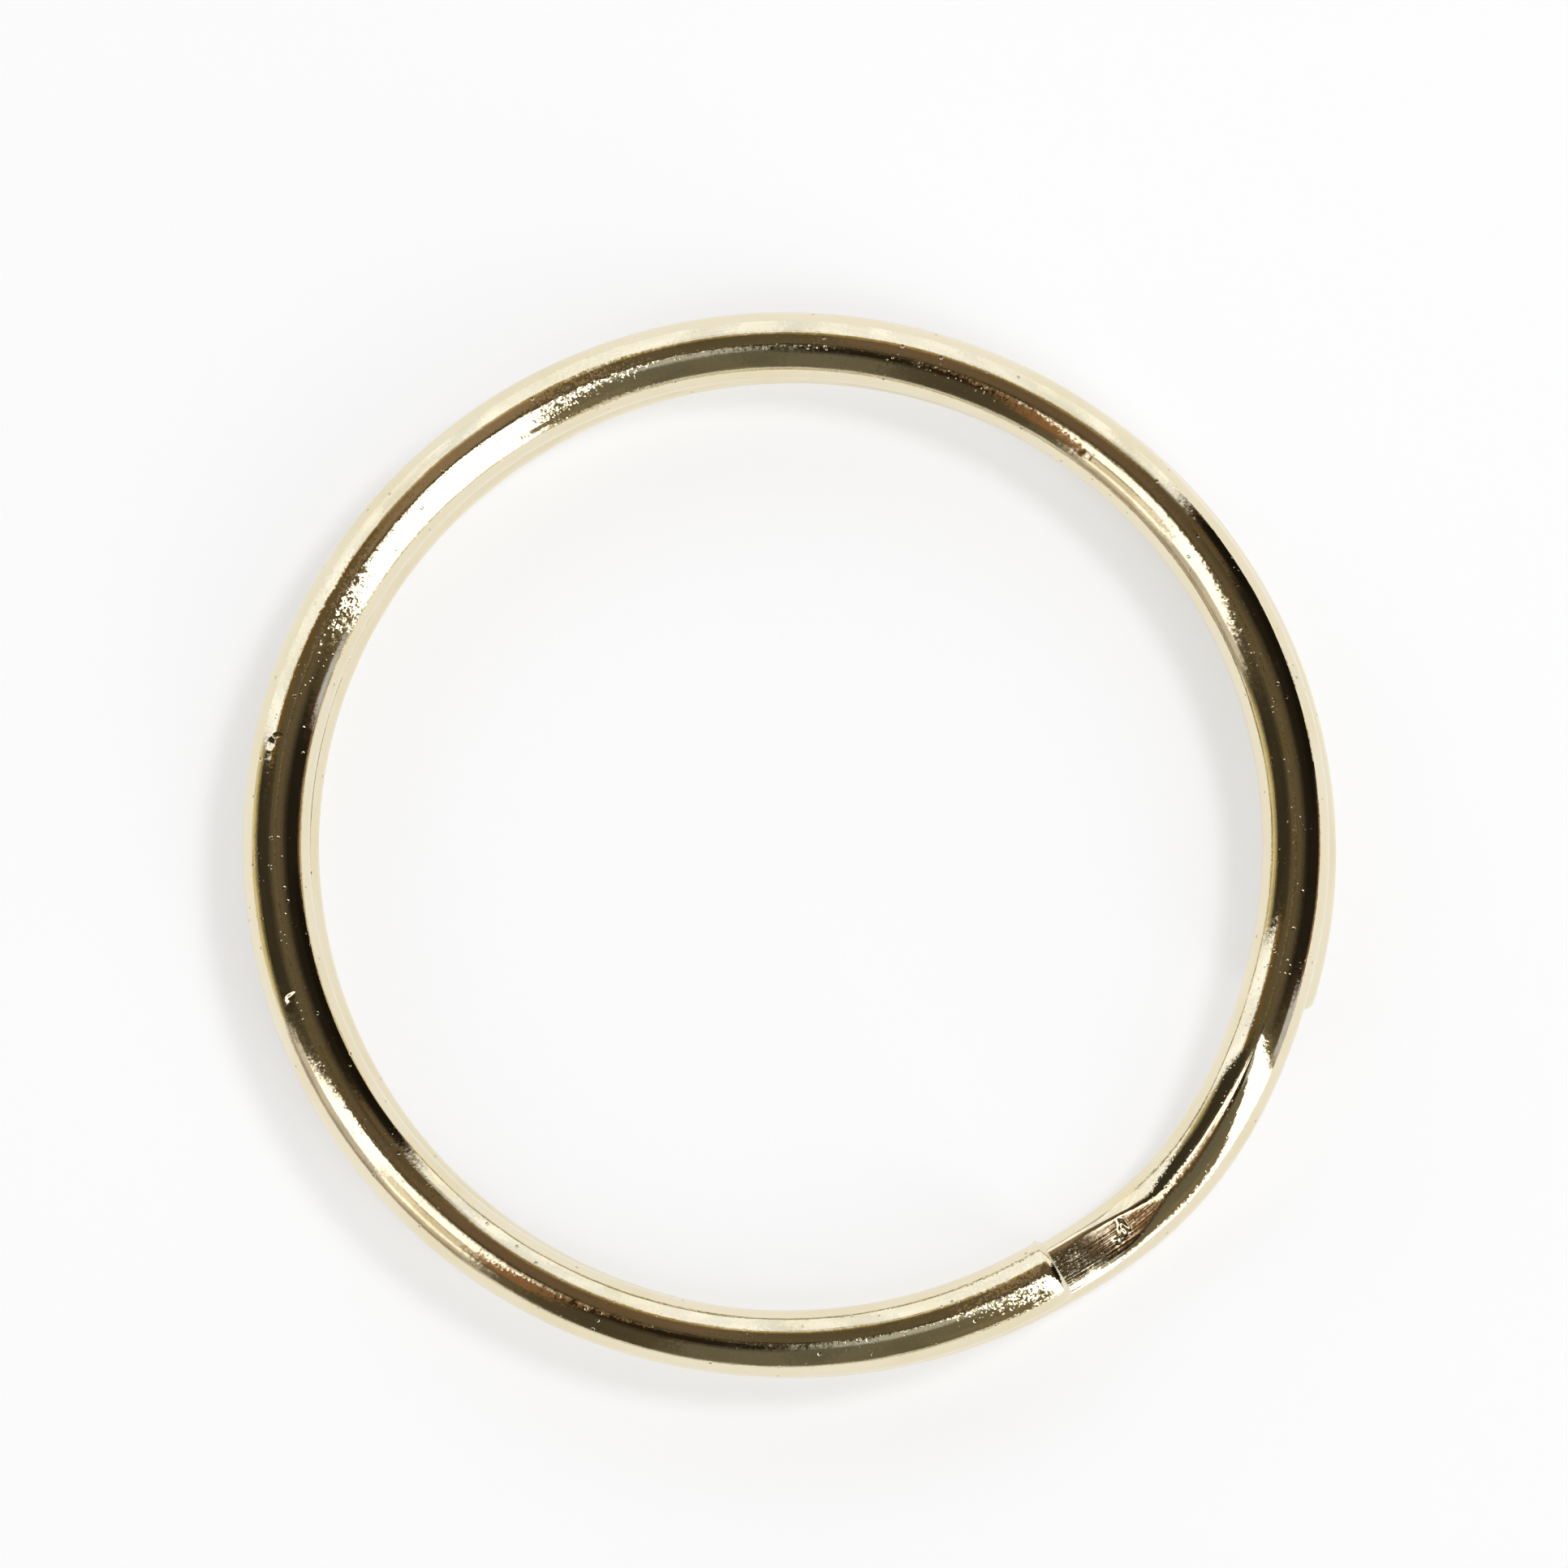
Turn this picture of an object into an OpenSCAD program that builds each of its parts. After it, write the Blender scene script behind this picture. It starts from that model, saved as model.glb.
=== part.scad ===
// Split ring: one wire wound twice round, its two turns pressed flat where they meet.
// A slope carries the wire from the lower turn up to the upper one, and a free end
// stops just short of the slope on each side of it.
// The ring lies on its lower turn, +Z up, with the origin at the middle of its underside.

/* [Ring] */
// Width of the upper turn along X, outside
ring_w = 32.3; // [24:0.1:44]
// Width of the upper turn along Y, outside
ring_d = 31.7; // [24:0.1:44]
// How far the lower turn lies along +X from the upper one
lower_shift = 0.22; // [0:0.01:0.4]

/* [Wire] */
// Diameter of the round wire
wire_w = 2; // [1.4:0.01:2.6]
// Depth pressed off each turn where the two meet
press = 0.25; // [0.1:0.01:0.6]
// Clearance between the two turns
turn_gap = 0.05; // [0.02:0.01:0.3]
// Turning angle a pressed flat carries on past the free end that lies on it
flat_run = 3; // [1:0.5:12]
// Turning angle over which the flat then fades out
flat_fade = 10; // [4:0.5:20]

/* [Free ends] */
// Direction of the upper turn's free end, anticlockwise from +X
upper_end = -58; // [-75:0.5:-50]
// Direction of the lower turn's free end, anticlockwise from +X
lower_end = -18; // [-25:0.5:-5]
// Bevel round the edge of each free end
end_bevel = 0.16; // [0.02:0.01:0.3]
// How far the lower turn's free end springs outwards
end_spring = 0.07; // [0:0.01:0.5]
// Turning angle over which it springs out
spring_reach = 35; // [20:1:120]

/* [Slope] */
// Turning angle left free between each end of the wire and the slope
slope_room = 2; // [1:0.5:4]
// How far the wire bows outwards halfway up the slope
slope_bow = 0.19; // [0:0.01:0.5]
// Turning angle over which the bow dies out beyond the slope
bow_reach = 9; // [4:1:20]

/* [Hidden] */

// Turning angle from one outline of the wire to the next, on the turns and on the slope
turn_step = 6;
slope_step = 2;
// Points on each side of the wire's outline
side_points = 12;
// Least flat kept above and below, so that the outline never pinches to a point
least_flat = 0.01;

wire_r = wire_w / 2;
flat_y = wire_r - press;
round_y = wire_r - least_flat;
lower_z = round_y;
upper_z = lower_z + 2 * flat_y + turn_gap;
half_w = ring_w / 2 - wire_r;
half_d = ring_d / 2 - wire_r;

// Directions along the wire, which runs anticlockwise and upwards from the lower free end
full_turn = 360;
wire_start = lower_end;
slope_start = full_turn + upper_end + slope_room;
slope_end = full_turn + lower_end - slope_room;
wire_end = 2 * full_turn + upper_end;
bevel_angle = end_bevel / half_w * 180 / PI;

// Smooth step from 0 to 1
function part_of(a, from, to) = min(1, max(0, (a - from) / (to - from)));
function eased(u) = u * u * (3 - 2 * u);

// Height of the wire's axis, as a share of the way from the lower turn to the upper one
function rise(a) = eased(part_of(a, slope_start, slope_end));

// How steeply the axis climbs there
function climb(a) =
    let (u = part_of(a, slope_start, slope_end))
    let (run = (slope_end - slope_start) * PI / 180 * (half_w + half_d) / 2)
    atan(6 * u * (1 - u) * (upper_z - lower_z) / run);

// How far the wire stands outside its oval: the sprung end and the bow
function spring_out(a) = end_spring * eased(1 - part_of(a, wire_start, wire_start + spring_reach));
function bow_out(a) =
    let (u = part_of(a, slope_start - bow_reach, slope_end + bow_reach))
    slope_bow * pow(sin(180 * u), 2);
function stand_out(a) = spring_out(a) + bow_out(a);

// Way outwards from the oval, square to it
function outwards(a) = let (v = [half_d * cos(a), half_w * sin(a), 0]) v / norm(v);

// Middle of the wire at a direction
function wire_axis(a) =
    [half_w * cos(a), half_d * sin(a), lower_z + (upper_z - lower_z) * rise(a)]
    + [lower_shift * (0.5 - rise(a)), 0, 0]
    + stand_out(a) * outwards(a);

// Round outline with a flat above and a flat below, at these distances from its middle
function flat_sided(above, below) =
    let (top = asin(above / wire_r), bottom = asin(below / wire_r))
    let (side = [for (i = [0:side_points - 1]) (top + bottom) * i / (side_points - 1) - bottom])
    concat(
        [for (t = side) wire_r * [cos(t), sin(t)]],
        [for (t = side) wire_r * [-cos(top - bottom - t), sin(top - bottom - t)]]
    );

// Height of the flat on top of the lower turn, and under the upper one, from the wire's middle.
// Each fades out on the slope, just past the free end that lies on it.
function flat_above(a) =
    let (fade_start = full_turn + upper_end + flat_run)
    flat_y + (round_y - flat_y) * eased(part_of(a, fade_start, fade_start + flat_fade));
function flat_below(a) =
    let (fade_end = full_turn + lower_end - flat_run)
    round_y + (flat_y - round_y) * eased(part_of(a, fade_end - flat_fade, fade_end));

// Ring of points round the wire at a direction. Size is 1 but for the bevels.
function wire_outline(a, size) =
    let (out = outwards(a), above = flat_above(a), below = flat_below(a))
    let (up = [out.y * sin(climb(a)), -out.x * sin(climb(a)), cos(climb(a))])
    [for (p = flat_sided(above, below)) wire_axis(a) + size * (p.x * out + p.y * up)];

// Directions from one to another in even steps, without the last
function steps(from, to, step) =
    let (count = ceil((to - from) / step))
    [for (i = [0:count - 1]) from + (to - from) * i / count];

module swept_wire() {
    first = wire_start + bevel_angle;
    last = wire_end - bevel_angle;
    bevel_size = 1 - end_bevel / wire_r;
    directions = concat(
        steps(first, slope_start, turn_step),
        steps(slope_start, slope_end, slope_step),
        steps(slope_end, last, turn_step)
    );
    outlines = concat(
        [wire_outline(wire_start, bevel_size)],
        [for (a = directions) wire_outline(a, 1)],
        [wire_outline(last, 1)],
        [wire_outline(wire_end, bevel_size)]
    );
    around = 2 * side_points;
    final = len(outlines) - 1;
    // Each face is listed clockwise as seen from outside.
    polyhedron(
        points = [for (outline = outlines) each outline],
        faces = concat(
            [[for (j = [0:around - 1]) around - 1 - j]],
            [[for (j = [0:around - 1]) final * around + j]],
            [
                for (i = [0:final - 1], j = [0:around - 1])
                    let (k = (j + 1) % around)
                    [i * around + j, i * around + k, (i + 1) * around + k, (i + 1) * around + j]
            ]
        ),
        convexity = 6
    );
}

module split_ring() {
    color("gold") swept_wire();
}

split_ring();
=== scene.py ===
"""The looks of a split ring: one wire wound twice round, plated pale gold, on a white table."""

from math import cos, degrees, pi, radians, sin

import bpy
import numpy as np
from mathutils import Matrix, Vector


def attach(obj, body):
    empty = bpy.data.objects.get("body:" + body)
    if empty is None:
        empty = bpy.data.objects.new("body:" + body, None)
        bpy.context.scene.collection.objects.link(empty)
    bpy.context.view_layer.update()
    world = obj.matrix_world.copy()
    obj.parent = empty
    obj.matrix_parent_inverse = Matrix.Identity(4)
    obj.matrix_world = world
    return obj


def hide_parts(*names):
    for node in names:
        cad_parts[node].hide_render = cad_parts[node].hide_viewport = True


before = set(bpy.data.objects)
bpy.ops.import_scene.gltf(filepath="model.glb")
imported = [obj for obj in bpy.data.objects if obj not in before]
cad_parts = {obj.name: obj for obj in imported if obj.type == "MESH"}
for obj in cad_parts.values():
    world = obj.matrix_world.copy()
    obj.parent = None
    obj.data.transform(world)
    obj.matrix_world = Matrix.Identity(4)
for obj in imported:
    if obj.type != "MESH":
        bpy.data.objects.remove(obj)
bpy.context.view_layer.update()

MM = 0.001

# Driving dimensions, in millimetres and degrees. They are the part's own, but here the flats end sooner and
# fade over a longer way, and the slope starts later and rolls outwards at its foot.
RING_W = 32.3
RING_D = 31.7
LOWER_SHIFT = 0.22
WIRE_W = 2
PRESS = 0.25
TURN_GAP = 0.05
FLAT_RUN = 2
FLAT_FADE = 15
UPPER_END = -58
LOWER_END = -18
END_BEVEL = 0.16
END_SPRING = 0.07
SPRING_REACH = 35
SLOPE_ROOM = 2
SLOPE_BOW = 0.19
BOW_REACH = 9
LEAST_FLAT = 0.01
SLOPE_ROLL = 3.5
# Turning angle over which the wire rolls, before the start of the slope and after it.
ROLL_BEFORE = 4
ROLL_AFTER = 18

WIRE_R = WIRE_W / 2
FLAT_Y = WIRE_R - PRESS
ROUND_Y = WIRE_R - LEAST_FLAT
# A flat this far from the middle leaves the wire round.
ROUND_MARGIN = 0.02
UNPRESSED = WIRE_R + ROUND_MARGIN
LOWER_Z = ROUND_Y
UPPER_Z = LOWER_Z + 2 * FLAT_Y + TURN_GAP
HALF_W = RING_W / 2 - WIRE_R
HALF_D = RING_D / 2 - WIRE_R

FULL_TURN = 360
WIRE_START = LOWER_END
SLOPE_START = FULL_TURN + UPPER_END + 2 * SLOPE_ROOM
SLOPE_END = FULL_TURN + LOWER_END - SLOPE_ROOM
WIRE_END = 2 * FULL_TURN + UPPER_END

# How finely the shown wire is divided: turning angle between outlines, in general and where there is fine
# detail, and points round it.
TURN_STEP = 1.0
FINE_STEP = 0.12
POINTS_ROUND = 96
# Turning angle that counts as fine detail on each side of a mark, and at the start and the end of the wire.
MARK_REACH = 1.6
START_REACH = 2.0
END_REACH = 3.0
# How softly the pressed flats turn into the round sides, and the least softness that still divides.
FLAT_SOFTNESS = 0.03
LEAST_SOFTNESS = 1e-5


def part_of(a, start, end):
    return np.clip((a - start) / (end - start), 0, 1)


def eased(u):
    return u * u * (3 - 2 * u)


def rise(a):
    """Height of the wire's axis, as a share of the way from the lower turn to the upper one."""
    u = part_of(a, SLOPE_START, SLOPE_END)
    return u ** 3 * (10 - 15 * u + 6 * u ** 2)


def climb(a):
    """How steeply the axis climbs, in radians."""
    u = part_of(a, SLOPE_START, SLOPE_END)
    run = radians(SLOPE_END - SLOPE_START) * (HALF_W + HALF_D) / 2
    return np.arctan(30 * (u * (1 - u)) ** 2 * (UPPER_Z - LOWER_Z) / run)


def roll(a):
    """How far the wire is rolled outwards about itself where the slope starts, in radians."""
    u = part_of(a, SLOPE_START - ROLL_BEFORE, SLOPE_START + ROLL_AFTER)
    return radians(SLOPE_ROLL) * np.sin(pi * u) ** 2


def stand_out(a):
    """How far the wire stands outside its oval: the sprung end and the bow."""
    spring = END_SPRING * eased(1 - part_of(a, WIRE_START, WIRE_START + SPRING_REACH))
    bow = SLOPE_BOW * np.sin(pi * part_of(a, SLOPE_START - BOW_REACH, SLOPE_END + BOW_REACH)) ** 2
    return spring + bow


def flat_above(a):
    """Height of the flat on top of the lower turn, which fades out past the free end that lies on it."""
    fade_start = FULL_TURN + UPPER_END + FLAT_RUN
    return FLAT_Y + (UNPRESSED - FLAT_Y) * eased(part_of(a, fade_start, fade_start + FLAT_FADE))


def flat_below(a):
    """Depth of the flat under the upper turn, which fades out the same way."""
    fade_end = FULL_TURN + LOWER_END - FLAT_RUN
    return ROUND_Y + (FLAT_Y - ROUND_Y) * eased(part_of(a, fade_end - FLAT_FADE, fade_end))


def outwards(a):
    v = np.stack([HALF_D * np.cos(np.radians(a)), HALF_W * np.sin(np.radians(a)), 0 * a], -1)
    return v / np.linalg.norm(v, axis=-1, keepdims=True)


def wire_axis(a):
    """Middle of the wire at each direction, in millimetres."""
    middle = np.stack([
        HALF_W * np.cos(np.radians(a)) + LOWER_SHIFT * (0.5 - rise(a)),
        HALF_D * np.sin(np.radians(a)),
        LOWER_Z + (UPPER_Z - LOWER_Z) * rise(a),
    ], -1)
    return middle + stand_out(a)[:, None] * outwards(a)


def upwards(a):
    """The way up square to the wire, which leans back where the wire climbs."""
    out, lean = outwards(a), climb(a)
    return np.stack([out[:, 1] * np.sin(lean), -out[:, 0] * np.sin(lean), np.cos(lean)], -1)


def pressed(height, flat):
    """Heights on a round wire after the side at that height is pressed flat, with a soft corner."""
    softness = FLAT_SOFTNESS * np.maximum(0, WIRE_R - flat) / PRESS + LEAST_SOFTNESS
    return flat - softness * np.logaddexp(0, (flat - height) / softness)


# Marks of wear: direction along the wire, side of the wire (0 outwards, 90 up, 180 inwards), half length
# along it, half width across it and depth, in degrees and millimetres. A negative depth stands proud.
MARKS = [
    (310.6, 101, 0.10, 0.15, -0.055),
    (310.0, 92, 0.08, 0.11, -0.045),
    (308.8, 84, 0.09, 0.07, -0.020),
    (558.3, 68, 0.16, 0.07, 0.030),
    (557.6, 76, 0.07, 0.10, 0.018),
    (413.0, 115, 0.12, 0.05, 0.025),
    (509.8, 64, 0.34, 0.07, 0.012),
    (528.9, 66, 0.14, 0.06, 0.022),
    (527.9, 74, 0.06, 0.10, 0.018),
    (661.6, 176, 0.10, 0.14, -0.070),
]
# The rim that each mark throws up: its height as a share of the depth, and its place and width in mark sizes.
RIM_SHARE = 0.15
RIM_PLACE = 1.5
RIM_WIDTH = 0.4
# How far a mark's outline wanders, in mark sizes, and how fast across it and along it.
WANDER = 0.25
WANDER_ACROSS = 2.3
WANDER_ALONG = 1.9


def mark_depths(a, side):
    """How far the marks push each point in, for directions a along the wire and angles round it."""
    depth = np.zeros(np.broadcast(a, side).shape)
    radius = (HALF_W + HALF_D) / 2
    for direction, way, half_length, half_width, deep in MARKS:
        along = np.radians(a - direction) * radius / half_length
        across = (np.radians(side - way + 180) % (2 * pi) - pi) * WIRE_R / half_width
        crooked_along = along + WANDER * np.sin(WANDER_ACROSS * across + direction)
        crooked_across = across + WANDER * np.sin(WANDER_ALONG * along + way)
        reach = np.hypot(crooked_along, crooked_across)
        rim = RIM_SHARE * np.exp(-(((reach - RIM_PLACE) / RIM_WIDTH) ** 2))
        depth += deep * (np.exp(-(reach ** 2)) - rim)
    return depth


def directions():
    """Directions of the outlines along the wire, closer together at the marks and near the ends."""
    fine = np.arange(WIRE_START, WIRE_END, FINE_STEP / 4)
    density = np.full_like(fine, 1 / TURN_STEP)
    spots = [(mark[0], MARK_REACH) for mark in MARKS]
    spots += [(WIRE_START, START_REACH), (WIRE_END, END_REACH)]
    for spot, reach in spots:
        near = np.exp(-(((fine - spot) / reach) ** 4))
        density = np.maximum(density, near / FINE_STEP)
    total = np.concatenate([[0], np.cumsum((density[1:] + density[:-1]) / 2 * np.diff(fine))])
    count = int(total[-1]) + 1
    return np.interp(np.linspace(0, total[-1], count), total, fine)


# The bevelled end of the wire: distance from the end, and how far the outline is drawn in there, both in
# bevel widths. The next outline stays this many times the last distance clear of the end.
END_PROFILE = [(0, 1.25), (0, 1.02), (0.06, 0.92), (0.94, 0.17), (1.1, 0.11), (1.8, 0.04), (2.6, 0)]
END_CLEARANCE = 1.5


def build_wire():
    """The wire as one closed mesh, with its own coordinates along and round it for the material."""
    steps = degrees(END_BEVEL / HALF_W) * np.array([reach for reach, _ in END_PROFILE])
    clear = END_CLEARANCE * steps[-1]
    inner = directions()
    inner = inner[(inner > WIRE_START + clear) & (inner < WIRE_END - clear)]
    a = np.concatenate([WIRE_START + steps, inner, WIRE_END - steps[::-1]])
    inset = np.array([share for _, share in END_PROFILE]) * END_BEVEL / WIRE_R
    size = 1 - np.concatenate([inset, 0 * inner, inset[::-1]])
    turn = np.linspace(0, 2 * pi, POINTS_ROUND, endpoint=False)
    above, below = flat_above(a)[:, None], flat_below(a)[:, None]
    across = WIRE_R * np.cos(turn)[None, :] * np.ones_like(above)
    height = WIRE_R * np.sin(turn)[None, :] * np.ones_like(above)
    height = -pressed(-pressed(height, above), below)
    push = mark_depths(a[:, None], np.degrees(turn)[None, :])
    radial = np.stack([np.cos(turn), np.sin(turn)], -1)[None]
    flat_way = (np.stack([across, height], -1) - push[..., None] * radial) * size[:, None, None]
    middle, level, upright, lean = wire_axis(a), outwards(a), upwards(a), roll(a)[:, None]
    out = level * np.cos(lean) - upright * np.sin(lean)
    up = upright * np.cos(lean) + level * np.sin(lean)
    points = middle[:, None] + flat_way[..., :1] * out[:, None] + flat_way[..., 1:] * up[:, None]

    rings, around = len(a), POINTS_ROUND
    corner = np.arange(rings - 1)[:, None] * around + np.arange(around)[None, :]
    after = np.arange(rings - 1)[:, None] * around + (np.arange(around)[None, :] + 1) % around
    sides = np.stack([corner, after, after + around, corner + around], -1).reshape(-1, 4)[:, ::-1]
    faces = [tuple(int(i) for i in f) for f in sides]
    faces.append(tuple(range(around)))
    faces.append(tuple((rings - 1) * around + around - 1 - i for i in range(around)))

    mesh = bpy.data.meshes.new("wire")
    mesh.from_pydata((points.reshape(-1, 3) * MM).tolist(), [], faces)
    mesh.polygons.foreach_set("use_smooth", np.ones(len(faces), bool))
    length = np.concatenate([[0], np.cumsum(np.linalg.norm(np.diff(middle, axis=0), axis=1))])
    own = np.stack([
        np.repeat(length[:, None], around, 1),
        np.repeat(WIRE_R * np.cos(turn)[None], rings, 0),
        np.repeat(WIRE_R * np.sin(turn)[None], rings, 0),
    ], -1)
    along = mesh.attributes.new("along_wire", "FLOAT_VECTOR", "POINT")
    along.data.foreach_set("vector", own.reshape(-1).astype(np.float32))
    mesh.update()
    mesh.materials.append(wire_metal(float(length[-1])))
    wire = bpy.data.objects.new("wound_wire", mesh)
    bpy.context.scene.collection.objects.link(wire)
    return wire


class Nodes:
    """A short way to write a tree of shader nodes."""

    def __init__(self, tree):
        self.tree = tree
        tree.nodes.clear()

    def put(self, socket, value):
        if isinstance(value, bpy.types.NodeSocket):
            self.tree.links.new(value, socket)
        elif isinstance(value, (tuple, list)) and len(value) == 3 and socket.type == "RGBA":
            socket.default_value = (*value, 1)
        else:
            socket.default_value = value

    def add(self, kind, settings=None, **inputs):
        node = self.tree.nodes.new("ShaderNode" + kind)
        for name, value in (settings or {}).items():
            setattr(node, name, value)
        for name, value in inputs.items():
            self.put(node.inputs[name.replace("_", " ")], value)
        return node

    def math(self, operation, *values):
        node = self.add("Math", {"operation": operation})
        for socket, value in zip(node.inputs, values):
            self.put(socket, value)
        return node.outputs[0]

    def vector(self, operation, first, second=None):
        node = self.add("VectorMath", {"operation": operation})
        self.put(node.inputs[0], first)
        if second is not None:
            self.put(node.inputs["Scale" if operation == "SCALE" else 1], second)
        return node.outputs[0]

    def ramp(self, value, low, high, to_low=0.0, to_high=1.0):
        """The value taken smoothly from one range to another."""
        node = self.add("MapRange", {"interpolation_type": "SMOOTHSTEP"}, Value=value)
        bounds = {"From Min": low, "From Max": high, "To Min": to_low, "To Max": to_high}
        for name, bound in bounds.items():
            self.put(node.inputs[name], bound)
        return node.outputs[0]

    def within(self, value, low, high, soft_low, soft_high):
        """1 between two bounds, falling softly to 0 outside them."""
        up = self.ramp(value, low - soft_low, low + soft_low)
        down = self.ramp(value, high - soft_high, high + soft_high, 1.0, 0.0)
        return self.math("MULTIPLY", up, down)

    def mix(self, factor, first, second):
        node = self.add("Mix", {"data_type": "RGBA"})
        for index, value in ((0, factor), (6, first), (7, second)):
            self.put(node.inputs[index], value)
        return node.outputs[2]

    def noise(self, vector, scale, detail=3.0, roughness=0.55):
        node = self.add("TexNoise", Vector=vector, Scale=scale, Detail=detail, Roughness=roughness)
        return node.outputs[0]

    def stretched(self, vector, scale):
        node = self.add("Mapping", Vector=vector)
        node.inputs["Scale"].default_value = scale
        return node.outputs[0]


METAL = (0.85, 0.77, 0.57)
WARM_METAL = (0.76, 0.65, 0.36)
PIT_METAL = (0.36, 0.30, 0.20)
CUT_METAL = (0.80, 0.75, 0.58)
WHITE = (1, 1, 1)

# How much of the warmer and of the pits' colour shows at most.
WARM_SHARE = 0.35
PIT_SHARE = 0.55
# Roughness of the plating, and what the scuffs and the cut ends add to it at most.
ROUGHNESS = 0.05
SCUFF_ROUGHNESS = 0.05
CUT_ROUGHNESS = 0.18

# How fine each pattern is, as its number of features per millimetre. Drawing lines and scuffs have one such
# number along the wire and two across it.
CLOUD_SCALE = 0.35
PIT_SCALE = 2.6
FINE_PIT_SCALE = 7.5
PATCH_SCALE = 0.8
WAVE_SCALE = 2.2
GRAIN_SCALE = 18.0
LINE_SCALES = (0.16, 9.0, 9.0)
SCUFF_SCALES = (0.5, 2.2, 2.2)

# Between which levels of its pattern each thing sets in: the warmer plating, the scuffs and the patches that
# have fine pits. For the pits, from the middle of one to its edge, and which of the cells have one.
WARM_LEVELS = (0.42, 0.72)
SCUFF_LEVELS = (0.50, 0.75)
PATCH_LEVELS = (0.45, 0.62)
PIT_EDGE = (0.10, 0.17)
PIT_CHOICE = (0.72, 0.76)
FINE_PIT_EDGE = (0.16, 0.30)
FINE_PIT_CHOICE = (0.55, 0.62)

# Heights and depths of the fine relief, in millimetres.
LINE_HEIGHT = 0.0034
WAVE_HEIGHT = 0.0032
PIT_DEPTH = 0.006
FINE_PIT_DEPTH = 0.0020
# How far the cut ends' colour reaches along the wire, in millimetres: all of it, and the last of it.
CUT_FULL = 0.02
CUT_LAST = 0.10

# How far the grain's facets lean, as a share of the normal: everywhere, and more in the rubbed places.
FACET_TILT = 0.018
WORN_TILT = 0.055
# Where the plating is rubbed: direction along the wire in degrees, and half length in millimetres.
WORN_ZONES = [(473, 1.6), (512, 1.2), (319, 1.0), (657, 1.6)]
WORN_SOFTNESS = 0.8


def pitted(n, own, scale, edge, choice):
    """Pits in some cells of a scattered pattern: 1 in a pit and 0 outside."""
    cells = n.add("TexVoronoi", {"feature": "F1"}, Vector=own, Scale=scale, Randomness=1.0)
    chosen = n.ramp(n.add("SeparateColor", Color=cells.outputs["Color"]).outputs[0], *choice)
    return n.math("MULTIPLY", n.ramp(cells.outputs["Distance"], *edge, 1.0, 0.0), chosen)


def worn_places(n, along):
    """1 where the plating is rubbed to a fine grain."""
    worn = 0.0
    for direction, reach in WORN_ZONES:
        middle = radians(direction - WIRE_START) * (HALF_W + HALF_D) / 2
        zone = n.within(along, middle - reach, middle + reach, WORN_SOFTNESS, WORN_SOFTNESS)
        worn = n.math("ADD", worn, zone)
    return worn


def wire_metal(length):
    """Bright pale-gold plating with drawing lines along the wire, fine pits, scuffs and bare cut ends."""
    material = bpy.data.materials.new("pale_gold_plating")
    material.use_nodes = True
    n = Nodes(material.node_tree)
    own = n.add("Attribute", {"attribute_name": "along_wire"}).outputs["Vector"]
    along = n.add("SeparateXYZ", Vector=own).outputs[0]

    facets = n.add("TexVoronoi", {"feature": "F1"}, Vector=own, Scale=GRAIN_SCALE).outputs["Color"]
    tilt = n.vector("SUBTRACT", facets, (0.5, 0.5, 0.5))
    lean = n.math("ADD", FACET_TILT, n.math("MULTIPLY", worn_places(n, along), WORN_TILT))
    tilt = n.vector("SCALE", tilt, lean)
    normal = n.vector("NORMALIZE", n.vector("ADD", n.add("NewGeometry").outputs["Normal"], tilt))

    pits = pitted(n, own, PIT_SCALE, PIT_EDGE, PIT_CHOICE)
    patches = n.ramp(n.noise(own, PATCH_SCALE, detail=2.0), *PATCH_LEVELS)
    fine_pits = n.math("MULTIPLY", pitted(n, own, FINE_PIT_SCALE, FINE_PIT_EDGE, FINE_PIT_CHOICE), patches)

    start = n.ramp(along, CUT_FULL, CUT_LAST, 1.0, 0.0)
    ends = n.math("ADD", start, n.ramp(along, length - CUT_LAST, length - CUT_FULL))

    warm = n.ramp(n.noise(own, CLOUD_SCALE, detail=4.0), *WARM_LEVELS, 0.0, WARM_SHARE)
    colour = n.mix(warm, METAL, WARM_METAL)
    colour = n.mix(n.math("MULTIPLY", pits, PIT_SHARE), colour, PIT_METAL)
    colour = n.mix(ends, colour, CUT_METAL)

    scuffs = n.noise(n.stretched(own, SCUFF_SCALES), 1.0, detail=5.0, roughness=0.65)
    rough = n.math("ADD", ROUGHNESS, n.ramp(scuffs, *SCUFF_LEVELS, 0.0, SCUFF_ROUGHNESS))
    rough = n.math("ADD", rough, n.math("MULTIPLY", ends, CUT_ROUGHNESS))

    lines = n.noise(n.stretched(own, LINE_SCALES), 1.0, detail=3.0, roughness=0.6)
    waves = n.noise(own, WAVE_SCALE, detail=2.0)
    height = n.math("MULTIPLY", lines, LINE_HEIGHT)
    height = n.math("ADD", height, n.math("MULTIPLY", waves, WAVE_HEIGHT))
    height = n.math("SUBTRACT", height, n.math("MULTIPLY", pits, PIT_DEPTH))
    height = n.math("SUBTRACT", height, n.math("MULTIPLY", fine_pits, FINE_PIT_DEPTH))
    bump = n.add("Bump", Strength=1.0, Distance=MM, Height=height, Normal=normal).outputs[0]

    shader = n.add("BsdfPrincipled", Base_Color=colour, Metallic=1.0, Roughness=rough, Normal=bump)
    n.add("OutputMaterial", Surface=shader.outputs[0])
    return material


FLOOR_SIZE = 3.0
FLOOR_COLOUR = (0.58, 0.595, 0.625)
# How much of the table's white comes from its own colour to the eye, beside the light that it catches.
FLOOR_GLOW = 0.47


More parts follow.
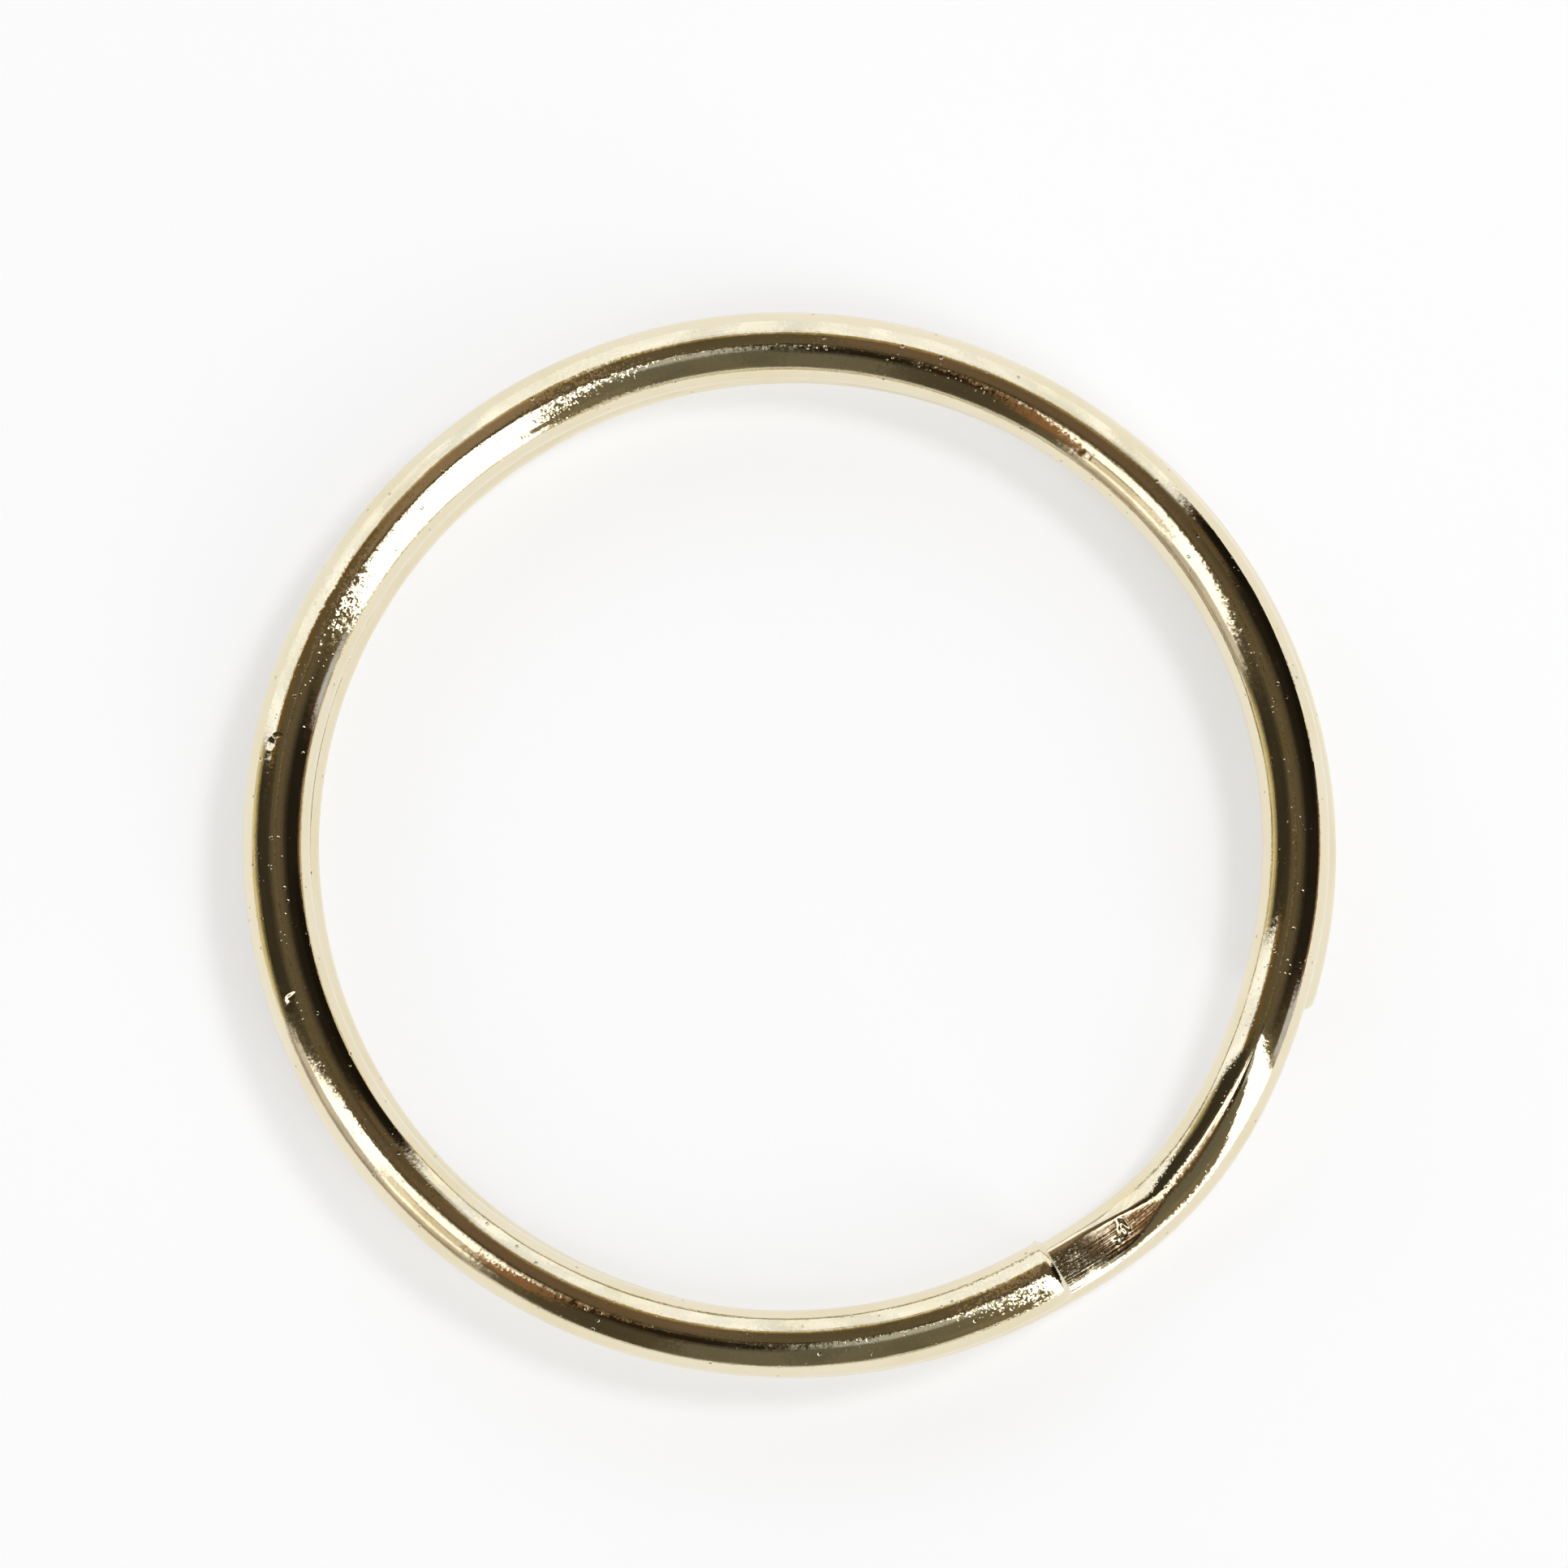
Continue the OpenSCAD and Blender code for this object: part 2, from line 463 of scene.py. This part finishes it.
def add_floor():
    """A plain white table, which keeps the ring's shadow."""
    mesh = bpy.data.meshes.new("table")
    half = FLOOR_SIZE / 2
    corners = [(-half, -half, 0), (half, -half, 0), (half, half, 0), (-half, half, 0)]
    mesh.from_pydata(corners, [], [(0, 1, 2, 3)])
    table = bpy.data.objects.new("table", mesh)
    bpy.context.scene.collection.objects.link(table)
    material = bpy.data.materials.new("white_table")
    material.use_nodes = True
    n = Nodes(material.node_tree)
    matt = n.add("BsdfDiffuse", Color=FLOOR_COLOUR)
    path = n.add("LightPath")
    seen = n.math("MAXIMUM", path.outputs["Is Camera Ray"], path.outputs["Is Glossy Ray"])
    seen = n.math("MAXIMUM", seen, path.outputs["Is Transmission Ray"])
    glow = n.add("Emission", Color=WHITE, Strength=n.math("MULTIPLY", seen, FLOOR_GLOW))
    both = n.add("AddShader")
    n.put(both.inputs[0], matt.outputs[0])
    n.put(both.inputs[1], glow.outputs[0])
    n.add("OutputMaterial", Surface=both.outputs[0])
    mesh.materials.append(material)
    return table


OVERHEAD = (0.12, 0.095, 0.055)
# What stands round the table, as the ring sees it, each laid over those before it: its azimuth from and to,
# how soft those two sides are, its angle from straight up from and to, how soft those are, all in degrees,
# and its light.
STUDIO = {
    "warm_ceiling": (50, 84, 8, 6, 8, 36, 6, 4, (0.16, 0.105, 0.065)),
    "ceiling_beam": (112, 137, 3, 4, 4, 42, 3, 4, (0.27, 0.19, 0.12)),
    "dark_corner_rim": (-14, 43, 4, 2, 50, 91, 10, 4, (0.26, 0.15, 0.07)),
    "dark_corner": (-16, 43, 8, 3, 26, 84, 16, 4, (0.018, 0.014, 0.010)),
    "dark_corner_foot": (8, 42, 4, 2, 60, 90, 10, 2, (0.010, 0.008, 0.005)),
    "card_rim": (48, 166, 6, 2, 36, 60, 4, 2, (0.40, 0.29, 0.10)),
    "card_rim_shade": (138, 166, 3, 2, 30, 46, 4, 5, (0.165, 0.09, 0.02)),
    "card_behind": (44.5, 166, 2, 1.2, 43.5, 120, 3.5, 1, (1.08, 1.11, 1.17)),
    "card_corner_shade": (36, 55, 4, 7, 30, 51, 5, 9, (0.13, 0.095, 0.05)),
    "front_dark": (-119, -103, 6, 6, 10, 84, 6, 8, (0.075, 0.06, 0.037)),
    "front_grey": (-103, -62, 6, 2, 8, 82, 6, 10, (0.15, 0.135, 0.095)),
    "front_patch": (-86, -66, 4, 4, 2, 20, 2, 4, (0.47, 0.48, 0.45)),
    "front_black": (-119, -91, 3, 4, 3, 26, 3, 8, (0.019, 0.013, 0.007)),
    "right_light_rim": (-65, -22.5, 2, 2, 5, 95, 2, 3, (0.165, 0.125, 0.065)),
    "pale_panel": (-161, -127, 2, 3, 56, 120, 4, 1, (0.62, 0.575, 0.54)),
    "pale_panel_foot": (-161, -127, 2, 3, 77, 87, 4, 3, (0.40, 0.33, 0.25)),
    "orange_fringe": (-130, -120, 3, 4, 3, 46, 4, 6, (0.26, 0.13, 0.055)),
    "lilac_panel": (-24, -13, 2, 2, 68, 120, 5, 1, (0.52, 0.52, 0.58)),
    "left_light": (-157, -142, 2, 2, 7, 58, 4, 3, (1.70, 1.62, 1.60)),
    "left_light_edge": (-142, -129, 2, 2, 8, 68, 4, 3, (0.84, 0.76, 0.66)),
    "left_light_top": (-143, -129, 2, 2, 10, 31, 4, 6, (1.70, 1.66, 1.60)),
    "left_light_foot": (-143, -129, 2, 2, 55, 64, 3, 3, (1.40, 1.35, 1.20)),
    "left_light_slat": (-141, -127, 3, 2, 33, 36, 1.5, 2, (0.34, 0.26, 0.13)),
    "right_light": (-60, -26.5, 1.5, 2, 3, 95, 2, 3, (2.60, 2.55, 2.50)),
    "right_light_notch": (-72, -57, 4, 1.5, 58, 78, 2.5, 5, (0.20, 0.165, 0.10)),
    "straight_up": (-200, 200, 1, 1, -10, 2.2, 1, 1.2, (0.035, 0.026, 0.013)),
}
# Under the patches: dark on the left and a warm glow at its foot, and a pale horizon all round. Each sets in
# between two angles from +X, either way round, and two from straight up, in degrees.
LEFT_DARK = (0.042, 0.034, 0.021)
LEFT_DARK_SIDES = (156.0, 168.0)
LEFT_DARK_HEIGHTS = (8.0, 30.0)
HORIZON = (0.94, 0.93, 0.88)
HORIZON_HEIGHTS = (76.0, 90.0)
LEFT_GLOW = (0.75, 0.64, 0.35)
LEFT_GLOW_SIDES = (158.0, 170.0)
LEFT_GLOW_HEIGHTS = (62.0, 86.0)
# What the camera alone sees behind the table.
BACKDROP = (0.97, 0.97, 0.97)
# Faint upright streaks in the room: how fine they are across and up and down, per degree, between which
# levels of their pattern they run, and the least and most that they make of the light.
STREAKS_ACROSS = 0.22
STREAKS_UP = 0.012
STREAK_LEVELS = (0.3, 0.7)
STREAK_LIGHT = (0.82, 1.14)


def light_room():
    """The studio round the table: dark overhead, a card behind, and lights in front, left and right."""
    world = bpy.data.worlds.new("studio")
    world.use_nodes = True
    n = Nodes(world.node_tree)
    way = n.add("SeparateXYZ", Vector=n.add("TexCoord").outputs["Generated"])
    x, y, z = way.outputs
    zenith = n.math("MULTIPLY", n.math("ARCCOSINE", z), degrees(1))
    azimuth = n.math("MULTIPLY", n.math("ARCTAN2", y, x), degrees(1))

    def on_left(sides, heights):
        return n.math("MULTIPLY", n.ramp(n.math("ABSOLUTE", azimuth), *sides), n.ramp(zenith, *heights))

    colour = n.mix(on_left(LEFT_DARK_SIDES, LEFT_DARK_HEIGHTS), OVERHEAD, LEFT_DARK)
    colour = n.mix(n.ramp(zenith, *HORIZON_HEIGHTS), colour, HORIZON)
    colour = n.mix(on_left(LEFT_GLOW_SIDES, LEFT_GLOW_HEIGHTS), colour, LEFT_GLOW)
    across = n.math("MULTIPLY", azimuth, STREAKS_ACROSS)
    upright = n.math("MULTIPLY", zenith, STREAKS_UP)
    streaks = n.noise(n.add("CombineXYZ", X=across, Y=upright).outputs[0], 1.0, detail=3.0)
    streaks = n.ramp(streaks, *STREAK_LEVELS, *STREAK_LIGHT)
    for low, high, soft_low, soft_high, top, foot, soft_top, soft_foot, light in STUDIO.values():
        sides = n.within(azimuth, low, high, soft_low, soft_high)
        over = n.within(zenith, top, foot, soft_top, soft_foot)
        colour = n.mix(n.math("MULTIPLY", sides, over), colour, light)
    seen = n.add("LightPath").outputs["Is Camera Ray"]
    colour = n.mix(seen, n.vector("SCALE", colour, streaks), BACKDROP)
    glow = n.add("Background", Color=colour, Strength=1.0)
    n.add("OutputWorld", Surface=glow.outputs[0])
    bpy.context.scene.world = world


LAMP_DISTANCE = 0.5
# Azimuth and angle from straight up in degrees, width in metres and power of each softbox.
SOFTBOXES = {
    "right_softbox": (32, 27, 0.12, 0.66),
    "front_softbox": (-80, 16, 0.12, 0.12),
}


def add_lamps():
    """Round softboxes, which give the table its shadows; the wire itself mirrors only the room."""
    for name, (azimuth, zenith, width, power) in SOFTBOXES.items():
        lamp = bpy.data.lights.new(name, "AREA")
        lamp.shape = "DISK"
        lamp.size = width
        lamp.energy = power
        stand = bpy.data.objects.new(name, lamp)
        bpy.context.scene.collection.objects.link(stand)
        lean, way = radians(zenith), radians(azimuth)
        to_lamp = Vector((sin(lean) * cos(way), sin(lean) * sin(way), cos(lean)))
        stand.location = LAMP_DISTANCE * to_lamp
        stand.rotation_euler = (0, lean, way)
        stand.visible_glossy = False


# The camera's place, what it looks at, its film and its lens, in millimetres.
CAMERA_PLACE = (1.76, -19.26, 400.0)
CAMERA_AIM = (-0.17, 1.78, 2.5)
SENSOR_WIDTH = 36
LENS = 307.46
# The nearest thing that it shows, in metres.
CLIP_START = 0.01


def add_camera():
    """The camera looks down at the ring from high above the table, nearly straight."""
    camera = bpy.data.cameras.new("camera")
    camera.sensor_width = SENSOR_WIDTH
    camera.lens = LENS
    camera.clip_start = CLIP_START
    seat = bpy.data.objects.new("camera", camera)
    bpy.context.scene.collection.objects.link(seat)
    place = Vector(CAMERA_PLACE) * MM
    aim = Vector(CAMERA_AIM) * MM
    back = (place - aim).normalized()
    right = Vector((0, 1, 0)).cross(back).normalized()
    up = back.cross(right)
    seat.location = place
    seat.rotation_mode = "QUATERNION"
    seat.rotation_quaternion = Matrix((right, up, back)).transposed().to_quaternion()
    bpy.context.scene.camera = seat


wire = build_wire()
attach(wire, "root")
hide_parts("split_ring")
add_floor()
light_room()
add_lamps()
add_camera()

bpy.context.scene.view_settings.view_transform = "Standard"
